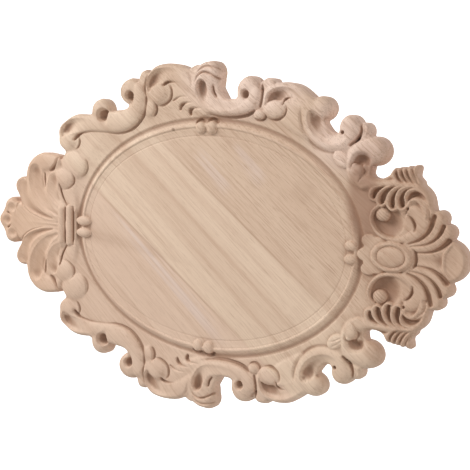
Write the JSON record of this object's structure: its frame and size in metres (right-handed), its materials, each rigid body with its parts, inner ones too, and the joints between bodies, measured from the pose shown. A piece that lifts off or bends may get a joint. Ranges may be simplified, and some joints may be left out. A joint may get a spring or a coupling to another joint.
{
  "type": "carved wood applique",
  "caption": "Oval carved wood applique: a plain oval field in a ring moulding, with a border of scrolls, a palmette fan at one end and a shell with a cabochon at the other.",
  "frame": {"origin": "on the flat back, behind the centre of the oval field", "axes": "+X along the oval towards the shell, +Z across it, the carving faces -Y and the flat back +Y"},
  "size_m": [0.5005, 0.016, 0.3076],
  "materials": {
    "wood": "bare, sanded smooth"
  },
  "bodies": {
    "root": {"applique": "wood"}
  },
  "joints": []
}
